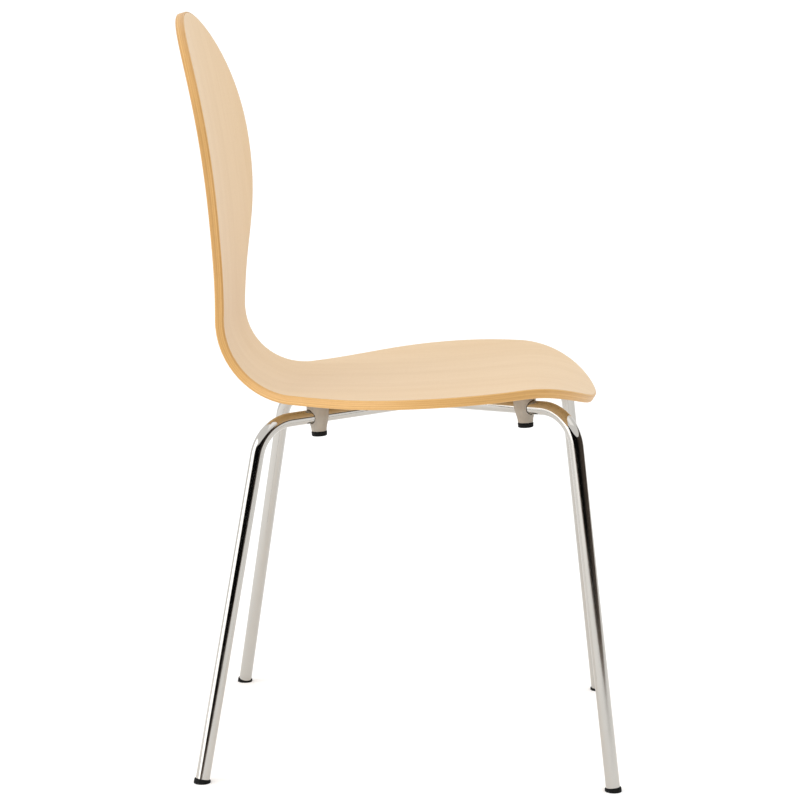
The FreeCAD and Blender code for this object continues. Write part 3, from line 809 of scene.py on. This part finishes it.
def make_stage():
    """A wide floor under an even white world."""
    floor_radius = 40
    bm = bmesh.new()
    bmesh.ops.create_circle(bm, cap_ends=True, segments=96, radius=floor_radius)
    mesh = bpy.data.meshes.new("floor")
    bm.to_mesh(mesh)
    bm.free()
    mesh.materials.append(floor_material())
    floor = bpy.data.objects.new("floor", mesh)
    bpy.context.scene.collection.objects.link(floor)

    world = bpy.data.worlds.new("studio")
    bpy.context.scene.world = world
    world.use_nodes = True
    backdrop = world.node_tree.nodes["Background"]
    backdrop.inputs["Color"].default_value = colour(1.0, 1.0, 1.0)
    backdrop.inputs["Strength"].default_value = 1.12


def area_light(name, place, target, width, height, power):
    """A soft rectangular lamp, aimed at a point."""
    light = bpy.data.lights.new(name, "AREA")
    light.shape = "RECTANGLE"
    light.size = width
    light.size_y = height
    light.energy = power
    lamp = bpy.data.objects.new(name, light)
    bpy.context.scene.collection.objects.link(lamp)
    lamp.location = place
    lamp.rotation_euler = (Vector(target) - Vector(place)).to_track_quat("-Z", "Y").to_euler()
    return lamp


def make_dark_wall():
    """The unlit side of the studio: a curved card that only reflections see.

    It stands beyond the camera and draws the dark lines on the chrome.
    """
    radius, low, high = 4.5, 0.12, 2.6
    first, last, steps = math.radians(-128), math.radians(54), 48
    bm = bmesh.new()
    columns = []
    for step in range(steps + 1):
        turn = first + (last - first) * step / steps
        foot = Vector((-radius * math.cos(turn), radius * math.sin(turn), 0))
        columns.append([bm.verts.new(foot + Vector((0, 0, z))) for z in (low, high)])
    for before, after in zip(columns, columns[1:]):
        bm.faces.new([before[0], after[0], after[1], before[1]])
    mesh = bpy.data.meshes.new("dark_wall")
    bm.to_mesh(mesh)
    bm.free()
    # black beside the camera, a little paler to the front of the chair, and much paler at the
    # foot: painted light from the floor
    dark = Nodes("dark_wall")
    place = dark.add("ShaderNodeTexCoord").outputs["Object"]
    parts = dark.add("ShaderNodeSeparateXYZ", {0: place}).outputs
    tone = dark.mix(dark.remap(parts["Y"], -2.0, -4.4), colour(0.004, 0.004, 0.004),
                    colour(0.075, 0.060, 0.050))
    # painted light: the wall's foot is paler as if lit from the floor
    tone = dark.mix(dark.remap(parts["Z"], 0.12, 0.34), colour(0.26, 0.21, 0.18), tone)
    dark.set(Base_Color=tone, Roughness=0.9, Specular_IOR_Level=0.0)
    mesh.materials.append(dark.material)
    card = bpy.data.objects.new("dark_wall", mesh)
    bpy.context.scene.collection.objects.link(card)
    card.visible_camera = False
    card.visible_diffuse = False
    card.visible_shadow = False


def make_camera():
    """A long lens at the sitter's right, a little lower than the top of the back."""
    eye = Vector((-2.576, CENTRE_Y - 0.087, 0.7945))
    yaw, pitch, roll = math.radians(2.577), math.radians(8.538), math.radians(0.531)
    forward = Vector((math.cos(pitch) * math.cos(yaw), math.cos(pitch) * math.sin(yaw),
                      -math.sin(pitch)))
    right = forward.cross(Vector((0, 0, 1))).normalized()
    up = right.cross(forward)
    level_right = math.cos(roll) * right + math.sin(roll) * up
    level_up = -math.sin(roll) * right + math.cos(roll) * up
    data = bpy.data.cameras.new("camera")
    data.sensor_width = 36.0
    data.lens = 98.81
    camera = bpy.data.objects.new("camera", data)
    bpy.context.scene.collection.objects.link(camera)
    turn = Matrix((level_right, level_up, -forward)).transposed().to_4x4()
    camera.matrix_world = Matrix.Translation(eye) @ turn
    bpy.context.scene.camera = camera


# ------------------------------------------------------------ the chair


def dress_node(name, material):
    """Give a CAD node that stays in view its material."""
    mesh = frame["nodes"][name].data
    mesh.materials.clear()
    mesh.materials.append(material)


def main():
    """Build the chair, its stage, its light and its camera."""
    bpy.context.scene.view_settings.view_transform = "Standard"
    chrome = chrome_material()
    plastic = plastic_material()
    button_rubber = rubber_material("buffer_rubber", 0.006, 0.016)
    glide_plastic = rubber_material("glide_plastic", 0.005, 0.018)
    zinc = screw_material()

    make_shell(veneer_material(), ply_material())
    hoops = [Hoop(end) for end in ENDS]
    for hoop in hoops:
        make_hoop(hoop, chrome)
        for side in SIDES:
            make_spacer(hoop, side, plastic)
            make_buffer(hoop, side, button_rubber)
            make_glide(hoop, side, glide_plastic)
    make_welds(hoops, chrome)
    make_plate_screws(zinc)
    dress_node("centre_plate", chrome_material("plate_chrome", 0.12))
    dress_node("spacer_screws", zinc)
    for name in ("plate_inserts", "spacer_inserts"):
        dress_node(name, brass_material())

    make_stage()
    area_light("overhead", place=(-0.8, -0.6, 3.4), target=(0, 0, 0.4),
               width=2.6, height=2.6, power=10)
    area_light("rear_panel", place=(-1.6, 3.4, 1.5), target=(0, 0, 0.5),
               width=3.4, height=2.8, power=60)
    make_dark_wall()
    make_camera()


main()
